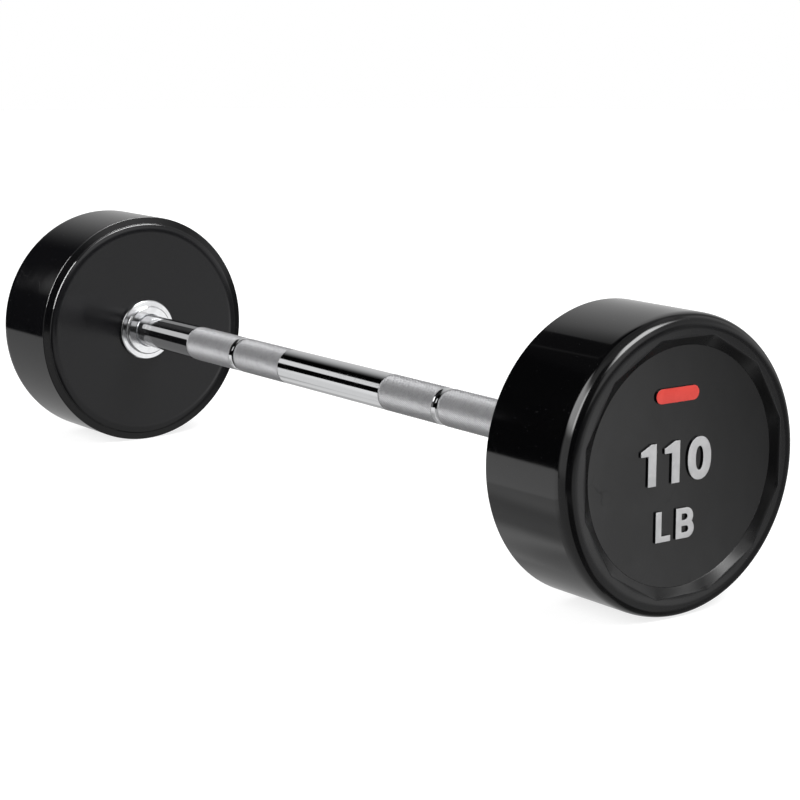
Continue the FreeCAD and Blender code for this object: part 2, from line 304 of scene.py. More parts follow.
urethaneFinish = {"wall": (0.0012, 0.0012, 0.0014, 1), "face": (0.003, 0.003, 0.0034, 1),
                  "rubbed": (0.09, 0.09, 0.088, 1), "innerFlat": (349.6, 350.6),
                  "outerFlat": (443.3, 444.3), "rubPlaces": (435.5, 442.5),
                  "rubRadii": (100.0, 108.0), "slopePlaces": (438.0, 439.0),
                  "slopeStart": (90.2, 90.6), "slopeEnd": (96.0, 99.5),
                  "slopeRoughness": 0.22, "smudge": 0.04, "smudgeSize": 14.0,
                  "scratch": 0.12, "scratchMarks": (26.0, 0.008, 0.45),
                  "scratchDip": -0.03, "rubRoughness": 0.05, "rubShare": 0.02,
                  "speckSize": 650.0, "speckCover": 0.03, "speckRoughness": 0.3,
                  "speckShare": 0.2, "pebbleSize": 1400.0}


# the wall is glossy; the flat faces of the same moulding are a little duller
def makeUrethane(name, wallRoughness, faceRoughness, wave, waveDepth, pebbleShare):
    spec = urethaneFinish
    material, tree, shader, place, at = newMaterial(name, IOR=1.5)
    cloud = smudges(tree, place, spec["smudgeSize"])
    scratch = scratches(tree, place, *spec["scratchMarks"])
    specks = useGroup(tree, dust, {
        "Place": place, "Size": spec["speckSize"], "Share": spec["speckCover"]})["Mask"]
    flat = calc(tree, "ADD", fade(tree, at["Along"], *spec["innerFlat"], 1.0, 0.0),
                fade(tree, at["Along"], *spec["outerFlat"]))
    worn = fade(tree, at["Along"], *spec["rubPlaces"])  # the outer round rubs on rack and floor
    rub = calc(tree, "MULTIPLY", worn, fade(tree, at["Radius"], *spec["rubRadii"]))
    pale = calc(tree, "MULTIPLY_ADD", specks, spec["speckShare"], calc(
        tree, "MULTIPLY", rub, calc(tree, "MULTIPLY", cloud, spec["rubShare"])))
    black = blendColour(tree, flat, spec["wall"], spec["face"])
    plug(tree, blendColour(tree, pale, black, spec["rubbed"]), shader.inputs["Base Color"])
    slope = calc(tree, "MULTIPLY", fade(tree, at["Along"], *spec["slopePlaces"]), calc(
        tree, "MULTIPLY", fade(tree, at["Radius"], *spec["slopeStart"]),
        fade(tree, at["Radius"], *spec["slopeEnd"], spec["slopeRoughness"], 0.0)))
    rough = fade(tree, flat, 0.0, 1.0, wallRoughness, faceRoughness)
    rough = calc(tree, "ADD", rough, slope)  # the recess's slope is duller
    rough = addShares(tree, rough, (cloud, spec["smudge"]), (scratch, spec["scratch"]),
                      (rub, spec["rubRoughness"]), (specks, spec["speckRoughness"]))
    plug(tree, rough, shader.inputs["Roughness"])
    skin = useGroup(tree, mouldedSkin, {
        "Place": place, "Wave": wave, "Pebble": spec["pebbleSize"],
        "Pebble Share": pebbleShare})["Height"]
    height = calc(tree, "MULTIPLY_ADD", scratch, spec["scratchDip"], skin)
    bumpInto(tree, shader, height, waveDepth)
    return material


markFinish = {"side": (0.004, 0.004, 0.0045, 1), "sideRoughness": 0.2,
              "paintStart": 441.18, "ragged": 0.14, "raggedSize": 500.0,
              "paintEdge": (-0.03, 0.05), "grain": 0.15, "grainSize": 2600.0,
              "grainDepth": 0.00002, "smudge": 0.25, "smudgeSize": 90.0,
              "flakeRange": (0.3, 0.95)}


# paint on the top of the raised marks, bare urethane on their sides
def makeRaisedPaint(name, paint, flake, paintRoughness, metal=0.0):
    spec = markFinish
    material, tree, shader, place, at = newMaterial(name, IOR=1.5)
    grain = noise(tree, place, spec["grainSize"], Detail=2.0)["Fac"]
    cloud = smudges(tree, place, spec["smudgeSize"])
    rag = noise(tree, place, spec["raggedSize"])["Fac"]
    edge = calc(tree, "MULTIPLY_ADD", rag, spec["ragged"], spec["paintStart"])
    painted = fade(tree, calc(tree, "SUBTRACT", at["Along"], edge), *spec["paintEdge"])
    light = fade(tree, calc(tree, "MULTIPLY_ADD", cloud, spec["smudge"], grain),
                 *spec["flakeRange"])
    colour = blendColour(tree, light, paint, flake)
    plug(tree, blendColour(tree, painted, spec["side"], colour), shader.inputs["Base Color"])
    if metal:
        plug(tree, calc(tree, "MULTIPLY", painted, metal), shader.inputs["Metallic"])
    rough = calc(tree, "MULTIPLY_ADD", grain, spec["grain"], paintRoughness)
    plug(tree, fade(tree, painted, 0.0, 1.0, spec["sideRoughness"], rough),
         shader.inputs["Roughness"])
    bumpInto(tree, shader, calc(tree, "MULTIPLY", grain, painted), spec["grainDepth"])
    return material


steelFinish = {"cloudShare": 0.5, "ringShare": 0.5, "turned": 0.1, "smudge": 0.15,
               "smudgeSize": 45.0}


def makeTurnedSteel(name, bright, dark, roughness, pitch, depth):
    spec = steelFinish
    material, tree, shader, place, at = newMaterial(name, Metallic=1.0)
    rings = latheRings(tree, at, pitch)
    cloud = smudges(tree, place, spec["smudgeSize"])
    share = addShares(tree, calc(tree, "MULTIPLY", cloud, spec["cloudShare"]),
                      (rings, spec["ringShare"]))
    plug(tree, blendColour(tree, share, bright, dark), shader.inputs["Base Color"])
    plug(tree, addShares(tree, roughness, (rings, spec["turned"]), (cloud, spec["smudge"])),
         shader.inputs["Roughness"])
    bumpInto(tree, shader, rings, depth)
    return material


barChrome = makeBarChrome()
collarChrome = makeCollarChrome()
glossUrethane = makeUrethane("glossUrethane", wallRoughness=0.05, faceRoughness=0.13,
                             wave=30.0, waveDepth=0.00002, pebbleShare=0.01)
faceUrethane = makeUrethane("faceUrethane", wallRoughness=0.14, faceRoughness=0.14,
                            wave=40.0, waveDepth=0.00003, pebbleShare=0.04)
silverPaint = makeRaisedPaint("silverPaint", paint=(0.38, 0.38, 0.385, 1),
                              flake=(0.52, 0.52, 0.525, 1), paintRoughness=0.42, metal=0.25)
redPaint = makeRaisedPaint("redPaint", paint=(0.51, 0.030, 0.021, 1),
                           flake=(0.62, 0.054, 0.040, 1), paintRoughness=0.3)
coreSteel = makeTurnedSteel("coreSteel", bright=(0.42, 0.41, 0.40, 1), roughness=0.32,
                            dark=(0.24, 0.23, 0.225, 1), pitch=0.6, depth=0.00004)
fastenerSteel = makeTurnedSteel("fastenerSteel", bright=(0.62, 0.62, 0.60, 1), roughness=0.22,
                                dark=(0.40, 0.39, 0.36, 1), pitch=0.15, depth=0.00001)
print("finishes made")


# helpers for turned pieces

# corners are (x, radius, round): each corner gets an arc of that round, with a guard point beside
# it so that flat stretches stay flat in a mirror finish
def roundedLine(corners, guard, steps=4):
    places = []
    count = len(corners)
    for i, (x, radius, bend) in enumerate(corners):
        here = Vector((x, radius))
        if bend == 0:
            places.append((x, radius))
            continue
        before = Vector(corners[i - 1][:2]) - here
        after = Vector(corners[(i + 1) % count][:2]) - here
        before.normalize()
        after.normalize()
        half = math.acos(max(-1.0, min(1.0, before.dot(after)))) / 2
        reach = bend / math.tan(half)
        centre = here + (before + after).normalized() * (bend / math.sin(half))
        start = here + before * reach
        end = here + after * reach
        places.append(tuple(start + before * guard))
        turnFrom = start - centre
        turnBy = math.pi - 2 * half
        if turnFrom.x * (end - centre).y - turnFrom.y * (end - centre).x < 0:
            turnBy = -turnBy
        for step in range(steps + 1):
            angle = turnBy * step / steps
            turned = Vector((turnFrom.x * math.cos(angle) - turnFrom.y * math.sin(angle),
                             turnFrom.x * math.sin(angle) + turnFrom.y * math.cos(angle)))
            places.append(tuple(centre + turned))
        places.append(tuple(end + after * guard))
    return places


def onCircle(x, radius, angle):
    return Vector((x, radius * math.cos(angle), radius * math.sin(angle))) * mm


# quads between rings of equal length; closed joins the last ring to the first
def weaveRings(work, rings, closed):
    rows = [[work.verts.new(point) for point in ring] for ring in rings]
    pairs = list(zip(rows, rows[1:]))
    if closed:
        pairs.append((rows[-1], rows[0]))
    for first, second in pairs:
        for i in range(len(first)):
            j = (i + 1) % len(first)
            work.faces.new((first[i], first[j], second[j], second[i]))
    return rows


def turnRings(places, around):
    return [[onCircle(x, radius, fullTurn * k / around) for k in range(around)]
            for x, radius in places]


def addObject(name, data):
    made = bpy.data.objects.new(name, data)
    bpy.context.scene.collection.objects.link(made)
    return made


# a closed mesh becomes a named piece that stands for its CAD nodes
def finishPiece(work, name, material, nodes, sharpDegrees=35):
    bmesh.ops.recalc_face_normals(work, faces=work.faces)
    mesh = bpy.data.meshes.new(name)
    work.to_mesh(mesh)
    work.free()
    mesh.polygons.foreach_set("use_smooth", [True] * len(mesh.polygons))
    mesh.set_sharp_from_angle(angle=math.radians(sharpDegrees))
    mesh.materials.append(material)
    piece = addObject(name, mesh)
    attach(piece, "root")
    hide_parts(*nodes)


def halfTurn(point):
    return Vector((-point.x, -point.y, point.z))


ends = (("right", lambda point: point), ("left", halfTurn))


# head jackets

jacketSpec = {"around": 360, "innerFace": 349.0, "outerRim": 444.5, "wallRadius": 114.0,
              "faceRadius": 98.5, "crown": (22.0, 20.0), "lip": (1.5, 75.0),
              "crease": (0.5, 12.0), "shoulderRound": 0.8,
              "outerReach": 13.5, "outerRise": 11.5, "outerFullness": 1.65,
              "recessSides": 12, "recessApothem": 96.3, "cornerRound": 7.0,
              "recessDepth": 4.7, "floorRadius": 90.3, "rimBreak": 1.3, "footBreak": 0.35,
              "collarHole": 27.0, "coreRadius": 106.0, "coreInner": 356.5,
              "coreOuter": 435.8, "coreChamfer": 3.0, "grooveHalf": 7.0, "grooveDepth": 3.0,
              "guard": 0.3, "recessGuard": 0.2}  # a ring this far off an edge keeps it flat


# distance from the axis to the recess's rounded twelve-sided edge
def recessRadius(spec, angle):
    apothem, bend = spec["recessApothem"], spec["cornerRound"]
    step = fullTurn / spec["recessSides"]
    half = step / 2
    off = (angle + half) % step - half  # from the middle of the nearest side
    fromCorner = half - abs(off)
    inner = (apothem - bend) / math.cos(half)
    tangent = math.atan2(bend * math.sin(half), inner + bend * math.cos(half))
    if fromCorner < tangent:
        side = bend ** 2 - (inner * math.sin(fromCorner)) ** 2
        return inner * math.cos(fromCorner) + math.sqrt(side)
    return apothem / math.cos(off)


# from the inner face out to the wall: crown, lip, crease, leaning shoulder and its round
def innerEdge(spec):
    x, radius, tilt = spec["innerFace"], spec["faceRadius"], 0.0
    line = [(x, radius - spec["guard"]), (x, radius)]
    for bend, lastTilt in (spec["crown"], spec["lip"], spec["crease"],
                           (spec["shoulderRound"], 90.0)):
        first, last = math.radians(tilt), math.radians(lastTilt)
        if lastTilt == 90.0:
            reach = spec["wallRadius"] - bend * (1 - math.sin(first)) - radius
            for share in (0.05, 0.95, 1.0):  # rings near both ends keep the shoulder straight
                line.append((x + share * reach * math.tan(first), radius + share * reach))
            x, radius = line[-1]
        if lastTilt < tilt:
            bend = -bend
        steps = max(4, round(abs(lastTilt - tilt) / 7))  # about one for each 7 degrees
        for step in range(1, steps + 1):
            now = first + (last - first) * step / steps
            line.append((x + bend * (math.cos(first) - math.cos(now)),
                         radius + bend * (math.sin(now) - math.sin(first))))
        x, radius = line[-1]
        tilt = lastTilt
    return line


# the outer round is fuller than a circle's arc; its points are even in the way they face
def outerEdge(spec, steps=22):
    full, reach, rise = spec["outerFullness"], spec["outerReach"], spec["outerRise"]
    line = []
    for step in range(steps + 1):
        turn = math.pi / 2 * step / steps
        up, out = rise * math.cos(turn), reach * math.sin(turn)
        size = (up ** full + out ** full) ** ((full - 1) / full)
        line.append((spec["outerRim"] - reach + reach * out ** (full - 1) / size,
                     spec["wallRadius"] - rise + rise * up ** (full - 1) / size))
    return line


def jacketOutline(spec, angle):
    rim, wall, core = spec["outerRim"], spec["wallRadius"], spec["coreRadius"]
    floorX = rim - spec["recessDepth"]
    near, far = spec["coreInner"], spec["coreOuter"]  # the core's two faces
    middle = (near + far) / 2
    groove, depth = spec["grooveHalf"], spec["grooveDepth"]
    chamfer, guard = spec["coreChamfer"], spec["guard"]
    outside = [(spec["innerFace"], spec["collarHole"])] + innerEdge(spec)
    outside += [(outside[-1][0] + guard, wall), (rim - spec["outerReach"] - guard, wall)]
    outside += outerEdge(spec)
    edge = recessRadius(spec, angle)
    dip = roundedLine([(rim, outside[-1][1] - guard, 0), (rim, edge, spec["rimBreak"]),
                       (floorX, spec["floorRadius"], spec["footBreak"]),
                       (far, spec["floorRadius"], 0)], spec["recessGuard"])
    inner = [(far, core - chamfer), (far - chamfer, core), (middle + groove + depth, core),
             (middle + groove, core - depth), (middle - groove, core - depth),
             (middle - groove - depth, core), (near + chamfer, core),
             (near, core - chamfer), (near, spec["collarHole"])]
    return outside + dip + inner


def makeJacket(side, place):
    spec = jacketSpec
    count = spec["around"]
    columns = []
    for k in range(count):
        angle = fullTurn * k / count
        columns.append([place(onCircle(x, radius, angle))
                        for x, radius in jacketOutline(spec, angle)])
    work = bmesh.new()
    weaveRings(work, [list(ring) for ring in zip(*columns)], closed=True)
    finishPiece(work, side + "Jacket", glossUrethane, [side + "_jacket"])


for side, place in ends:
    makeJacket(side, place)
print("jackets made")


# bar: plain stretches turned here, knurled bands from a node tree

barSpec = {"around": 128, "radius": 16.0, "middleEnd": 79.0, "ringStart": 155.5,
           "ringEnd": 163.5, "gripEnd": 242.0, "shoulder": 356.5, "spigotRadius": 14.0,
           "spigotEnd": 393.5, "spigotChamfer": 1.5, "keyRadius": 4.0, "keyEnd": 388.0,
           "holeRadius": 8.0, "holeBottom": 359.5, "holeChamfer": 0.4, "drillPoint": 4.0,
           "drillTip": 0.02, "ringDip": 0.42, "ringSteps": 12, "guard": 0.3,
           "shoulderBreak": ((0.6, 0.0), (0.3, 0.05), (0.0, 0.35))}
knurlSpec = {"rowPitch": 1.1, "crest": 16.3, "valley": 15.74, "runOutRows": 2.0}


# a band of diamonds wrapped round the bar, and the same band on the other half
def makeKnurlTree():
    tree, start, end = newGroup(
        "knurledBand", [("Start", floatSocket, 0.079), ("Length", floatSocket, 0.0765),
                        ("Rows", "NodeSocketInt", 68), ("Around", "NodeSocketInt", 128),
                        ("Bar Radius", floatSocket, 0.016),
                        ("Crest Radius", floatSocket, 0.0163),
                        ("Valley Radius", floatSocket, 0.01574),
                        ("Finish", "NodeSocketMaterial", None)],
        [("Geometry", "NodeSocketGeometry")], "GeometryNodeTree")
    grid = addNode(tree, "GeometryNodeMeshGrid", {
        "Size X": 1.0, "Size Y": 1.0, "Vertices X": calc(tree, "ADD", start["Rows"], 1.0),
        "Vertices Y": calc(tree, "ADD", start["Around"], 1.0)})
    spot = addNode(tree, "ShaderNodeSeparateXYZ", {
        "Vector": addNode(tree, "GeometryNodeInputPosition").outputs[0]}).outputs
    along = calc(tree, "ADD", spot["X"], 0.5)
    row = calc(tree, "ROUND", calc(tree, "MULTIPLY", along, start["Rows"]))
    across = calc(tree, "ADD", spot["Y"], 0.5)
    column = calc(tree, "ROUND", calc(tree, "MULTIPLY", across, start["Around"]))
    odd = calc(tree, "MODULO", calc(tree, "ADD", row, column), 2.0)
    fromEnd = calc(tree, "MINIMUM", row, calc(tree, "SUBTRACT", start["Rows"], row))
    rise = fade(tree, fromEnd, 0.0, knurlSpec["runOutRows"])
    cut = fade(tree, odd, 0.0, 1.0, start["Valley Radius"], start["Crest Radius"])
    radius = fade(tree, rise, 0.0, 1.0, start["Bar Radius"], cut)
    turn = calc(tree, "MULTIPLY", calc(tree, "DIVIDE", column, start["Around"]), fullTurn)
    wrapped = addNode(tree, "ShaderNodeCombineXYZ", {
        "X": calc(tree, "MULTIPLY_ADD", along, start["Length"], start["Start"]),
        "Y": calc(tree, "MULTIPLY", radius, calc(tree, "COSINE", turn)),
        "Z": calc(tree, "MULTIPLY", radius, calc(tree, "SINE", turn))})
    shaped = addNode(tree, "GeometryNodeSetPosition", {
        "Geometry": grid.outputs["Mesh"], "Position": wrapped.outputs[0]})
    closed = addNode(tree, "GeometryNodeMergeByDistance", {
        "Geometry": shaped.outputs[0], "Distance": 0.00001})
    facets = addNode(tree, "GeometryNodeTriangulate", {"Mesh": closed.outputs[0]})
    halves = addNode(tree, "GeometryNodeMeshLine", {"Count": 2, "Offset": (0.0, 0.0, 0.0)})
    which = addNode(tree, "GeometryNodeInputIndex").outputs[0]
    swing = addNode(tree, "ShaderNodeCombineXYZ", {
        "Z": calc(tree, "MULTIPLY", which, math.pi)})
    both = addNode(tree, "GeometryNodeInstanceOnPoints", {
        "Points": halves.outputs[0], "Instance": facets.outputs[0],
        "Rotation": swing.outputs[0]})
    real = addNode(tree, "GeometryNodeRealizeInstances", {"Geometry": both.outputs[0]})
    dressed = addNode(tree, "GeometryNodeSetMaterial", {
        "Geometry": real.outputs[0], "Material": start["Finish"]})
    tree.links.new(dressed.outputs[0], end["Geometry"])
    return tree


# runs a node tree on an empty mesh and gives back what it makes as a plain mesh
def growMesh(tree, values):
    host = addObject("host", bpy.data.meshes.new("host"))
    nodes = host.modifiers.new("grow", "NODES")
    nodes.node_group = tree
    for item in tree.interface.items_tree:
        if item.in_out == "INPUT" and item.name in values:
            nodes[item.identifier] = values[item.name]
    seen = host.evaluated_get(bpy.context.evaluated_depsgraph_get())
    mesh = bpy.data.meshes.new_from_object(seen)
    host.modifiers.remove(nodes)
    bpy.data.objects.remove(host)
    return mesh


# the spigot's ring, with the two round key seats where cut is true
def keyedRing(spec, x, cut):
    radius, key, around = spec["spigotRadius"], spec["keyRadius"], spec["around"]
    seatHalf = 2 * math.asin(key / 2 / radius)
    corner = Vector((radius * (math.cos(seatHalf) - 1), radius * math.sin(seatHalf)))
    sweep = math.pi - math.atan2(corner.y, -corner.x)
    reach = 6  # ring points on each side of a seat's middle
    points = []
    for k in range(around):
        off = (k + around // 4) % (around // 2) - around // 4
        if abs(off) > reach:
            points.append(onCircle(x, radius, fullTurn * k / around))
            continue
        seat = round((k - off) / (around // 2)) * math.pi
        if abs(off) == reach or not cut:
            points.append(onCircle(x, radius, seat + seatHalf * off / reach))
            continue
        angle = math.pi - (math.pi - sweep) * off / reach
        inward = radius + key * math.cos(angle)
        across = key * math.sin(angle)
        points.append(Vector((x, inward * math.cos(seat) - across * math.sin(seat),
                              inward * math.sin(seat) + across * math.cos(seat))) * mm)
    return points


def makeBar():
    spec = barSpec
    radius, around = spec["radius"], spec["around"]
    middle, guard = spec["middleEnd"], spec["guard"]
    work = bmesh.new()
    plain = [(-middle, radius), (-middle + guard, radius), (0, radius),
             (middle - guard, radius), (middle, radius)]
    weaveRings(work, turnRings(plain, around), closed=False)
    ringStart, ringEnd, steps = spec["ringStart"], spec["ringEnd"], spec["ringSteps"]
    for side in (1, -1):
        dip = [(side * (ringStart + k / steps * (ringEnd - ringStart)),
                radius - spec["ringDip"] * math.sin(math.pi * (k / steps)))
               for k in range(steps + 1)]
        weaveRings(work, turnRings(dip, around), closed=False)
    chamfer, lip = spec["spigotChamfer"], spec["holeChamfer"]
    grip, spigot, hole = spec["gripEnd"], spec["spigotEnd"], spec["holeRadius"]
    head = [(grip, radius), (grip + guard, radius)]
    head += [(spec["shoulder"] - back, radius - drop) for back, drop in spec["shoulderBreak"]]
    tail = [(spigot - chamfer, spec["spigotRadius"]), (spigot, spec["spigotRadius"] - chamfer),
            (spigot, hole + lip), (spigot - lip, hole), (spec["holeBottom"], hole),
            (spec["holeBottom"] - spec["drillPoint"], spec["drillTip"])]
    for _, place in ends:
        outside = turnRings(head, around)
        for x, cut in ((spec["shoulder"], True), (spec["keyEnd"], True),
                       (spec["keyEnd"], False)):
            outside.append(keyedRing(spec, x, cut))
        outside += turnRings(tail, around)
        rows = weaveRings(work, [[place(p) for p in ring] for ring in outside],
                          closed=False)
        work.faces.new(rows[-1])
    tree = makeKnurlTree()
    for start, end in ((middle, ringStart), (ringEnd, grip)):
        rowCount = 2 * round((end - start) / knurlSpec["rowPitch"] / 2)
        band = growMesh(tree, {
            "Start": start * mm, "Length": (end - start) * mm, "Rows": rowCount,
            "Around": around, "Bar Radius": radius * mm,
            "Crest Radius": knurlSpec["crest"] * mm,
            "Valley Radius": knurlSpec["valley"] * mm, "Finish": barChrome})
        work.from_mesh(band)
        bpy.data.meshes.remove(band)
    bmesh.ops.remove_doubles(work, verts=work.verts, dist=0.000005)
    finishPiece(work, "knurledBar", barChrome, ["bar"], sharpDegrees=24)


makeBar()
print("bar made")


# collars

collarSpec = {"around": 192, "bossFace": 341.0, "flangeFace": 345.0, "headFace": 349.0,
              "coreFace": 356.5, "bore": 16.0, "boss": 24.2, "flange": 30.0,
              "register": 27.0, "chamfer": 0.8, "edgeBreak": 0.25, "boreBreak": 0.15,
              "stepFillet": 0.5, "registerBreak": 0.3, "guard": 0.08}


def makeCollar(side, place):
    spec = collarSpec
    chamfer = spec["chamfer"]
    boss, flange, bore = spec["boss"], spec["flange"], spec["bore"]
    bossX, flangeX = spec["bossFace"], spec["flangeFace"]
    soft, fine = spec["edgeBreak"], spec["boreBreak"]
    corners = [(bossX, bore + chamfer, fine), (bossX, boss - chamfer, soft),
               (bossX + chamfer, boss, soft), (flangeX, boss, spec["stepFillet"]),
               (flangeX, flange - chamfer, soft), (flangeX + chamfer, flange, soft),
               (spec["headFace"], flange, fine), (spec["headFace"], spec["register"], 0),
               (spec["coreFace"], spec["register"], spec["registerBreak"]),
               (spec["coreFace"], bore, 0), (bossX + chamfer, bore, fine)]
    rings = turnRings(roundedLine(corners, spec["guard"]), spec["around"])
    work = bmesh.new()
    weaveRings(work, [[place(p) for p in ring] for ring in rings], closed=True)
    finishPiece(work, side + "Collar", collarChrome, [side + "_collar"])


for side, place in ends:
    makeCollar(side, place)
print("collars made")


# raised marks

markSpec = {"back": 439.0, "front": 441.5, "edgeBreak": 0.28, "shift": -6.4,
            "digitHeight": 31.5, "digitGap": 8.1, "baseline": -11.0,
            "oneWidth": 15.0, "oneStem": 7.8, "oneTop": 5.0, "oneFlagTop": 26.7,
            "oneFlagBottom": 22.9, "zeroWidth": 23.3, "zeroSide": 7.9, "zeroEnd": 7.2,
            "overshoot": 0.5, "letterHeight": 23.0, "letterBaseline": -53.9,
            "letterGap": 5.5, "letterStem": 5.6, "letterStroke": 4.4, "lWidth": 14.5,
            "bWidth": 18.0, "bInset": 1.0, "barWidth": 42.0, "barHeight": 11.0,
            "barCentre": 54.6, "ovalSide": 0.66, "ovalEnd": 0.56, "ovalSteps": 16}


def ovalLine(across, up, width, height):
    spec = markSpec
    reach, rise = width / 2, height / 2
    quarter = []
    for step in range(spec["ovalSteps"]):
        t = step / spec["ovalSteps"]
        weights = ((1 - t) ** 3, 3 * t * (1 - t) ** 2, 3 * t * t * (1 - t), t ** 3)
        poles = ((reach, 0), (reach, rise * spec["ovalSide"]),
                 (reach * spec["ovalEnd"], rise), (0, rise))
        quarter.append((sum(w * p[0] for w, p in zip(weights, poles)),
                        sum(w * p[1] for w, p in zip(weights, poles))))
    mirrored = [(-x, y) for x, y in reversed(quarter[1:])]
    upper = quarter + [(0, rise)] + mirrored
    lower = [(-x, -y) for x, y in upper]
    return [(across + x, up + y) for x, y in upper + lower]


def arcLine(centre, radius, first, last, steps=20):
    angles = [math.radians(first + (last - first) * k / steps) for k in range(steps + 1)]
    return [(centre[0] + radius * math.cos(angle), centre[1] + radius * math.sin(angle))
            for angle in angles]


def oneLines(left):
    spec = markSpec
    right = left + spec["oneWidth"]
    high = spec["digitHeight"]
    places = [(right, 0), (right, high), (right - spec["oneTop"], high),
              (left, spec["oneFlagTop"]), (left, spec["oneFlagBottom"]),
              (right - spec["oneStem"], spec["oneFlagBottom"]), (right - spec["oneStem"], 0)]
    return [[(x, y + spec["baseline"]) for x, y in places]]


def zeroLines(left):
    spec = markSpec
    across = left + spec["zeroWidth"] / 2
    up = spec["baseline"] + spec["digitHeight"] / 2
    height = spec["digitHeight"] + 2 * spec["overshoot"]
    return [ovalLine(across, up, spec["zeroWidth"], height),
            ovalLine(across, up, spec["zeroWidth"] - 2 * spec["zeroSide"],
                     height - 2 * spec["zeroEnd"])]


def lLines(left):
    spec = markSpec
    low = spec["letterBaseline"]
    top = low + spec["letterHeight"]
    foot = low + spec["letterStroke"]
    right, stem = left + spec["lWidth"], left + spec["letterStem"]
    return [[(left, low), (right, low), (right, foot), (stem, foot), (stem, top),
             (left, top)]]


def bLines(left):
    spec = markSpec
    low, stroke, stem = spec["letterBaseline"], spec["letterStroke"], spec["letterStem"]
    top = low + spec["letterHeight"]
    waistLow = low + (spec["letterHeight"] - stroke) / 2
    waistHigh = waistLow + stroke
    radius = (waistHigh - low) / 2
    right = left + spec["bWidth"]
    lower = (right - radius, low + radius)
    upper = (right - spec["bInset"] - radius, waistLow + radius)
    span = math.dist(lower, upper)
    tilt = math.degrees(math.atan2(upper[1] - lower[1], upper[0] - lower[0]))
    wide = math.degrees(math.acos(span / 2 / radius))  # the bowls meet in a notch
    outer = [(left, low)] + arcLine(lower, radius, -90, tilt - wide)
    outer += arcLine(upper, radius, tilt - 180 + wide, 90)[1:] + [(left, top)]
    lines = [outer]
    for bottom, high, edge in ((low + stroke, waistLow, right - stem),
                               (waistHigh, top - stroke, right - spec["bInset"] - stem)):
        hole = (high - bottom) / 2
        bowl = arcLine((edge - hole, bottom + hole), hole, -90, 90, 14)
        lines.append([(left + stem, bottom)] + bowl + [(left + stem, high)])
    return lines


def pillLines():
    spec = markSpec
    radius = spec["barHeight"] / 2
    reach = spec["barWidth"] / 2 - radius
    middle, up = spec["shift"], spec["barCentre"]
    return [arcLine((middle + reach, up), radius, -90, 90)
            + arcLine((middle - reach, up), radius, 90, 270)]


def makeMark(place, name, lines, material, node):
    spec = markSpec
    curve = bpy.data.curves.new(name, "CURVE")
    curve.dimensions = "2D"
    curve.fill_mode = "BOTH"
    for line in lines:
        spline = curve.splines.new("POLY")
        spline.points.add(len(line) - 1)
        for point, (x, y) in zip(spline.points, line):
            point.co = (x, y, 0, 1)
        spline.use_cyclic_u = True
    curve.extrude = (spec["front"] - spec["back"]) / 2 - spec["edgeBreak"]
    curve.bevel_depth = spec["edgeBreak"]
    curve.bevel_resolution = 2
    curve.offset = -spec["edgeBreak"]
    drawn = addObject(name, curve)
    flat = bpy.data.meshes.new_from_object(
        drawn.evaluated_get(bpy.context.evaluated_depsgraph_get()))
    bpy.data.objects.remove(drawn)
    work = bmesh.new()
    work.from_mesh(flat)
    bpy.data.meshes.remove(flat)
    bmesh.ops.remove_doubles(work, verts=work.verts, dist=0.002)
    middle = (spec["front"] + spec["back"]) / 2
    for vertex in work.verts:
        across, up, depth = vertex.co
        vertex.co = place(Vector((middle + depth, across, up)) * mm)
    finishPiece(work, name, material, [node])


def makeMarks():
    spec = markSpec
    number = 2 * spec["oneWidth"] + spec["zeroWidth"] + 2 * spec["digitGap"]
    left = spec["shift"] - number / 2
    step = spec["oneWidth"] + spec["digitGap"]
    digits = oneLines(left) + oneLines(left + step) + zeroLines(left + 2 * step)
    word = spec["lWidth"] + spec["letterGap"] + spec["bWidth"]
    left = spec["shift"] - word / 2
    letters = lLines(left) + bLines(left + spec["lWidth"] + spec["letterGap"])
    for side, place in ends:
        makeMark(place, side + "WeightNumber", digits, silverPaint,
                 side + "_weight_number")
        makeMark(place, side + "UnitLetters", letters, silverPaint,
                 side + "_unit_letters")
        makeMark(place, side + "ColourBar", pillLines(), redPaint,
                 side + "_colour_bar")


makeMarks()
print("marks made")


# CAD pieces that stay get their finishes

keptFinishes = {"face_plate": faceUrethane, "core": coreSteel, "draw_bolt": fastenerSteel,
                "flat_washer": fastenerSteel, "lock_washer": fastenerSteel,
                "key_pins": fastenerSteel}
for side, _ in ends:
    for node, material in keptFinishes.items():
        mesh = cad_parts[side + "_" + node].data
        mesh.materials.clear()
        mesh.materials.append(material)
print("kept pieces dressed")


# studio

studioSpec = {"floorHeight": -0.1142, "floorReach": 6.0, "floorSides": 96,
              "floorGlow": 0.80, "floorPaint": 0.35, "roomLevel": 0.48}
cameraSpec = {"lens": 98.96, "sensorWidth": 36.0, "place": (1.5892, -1.09027, 0.35218),
              "target": (0.0898, 0.0, -0.00485)}
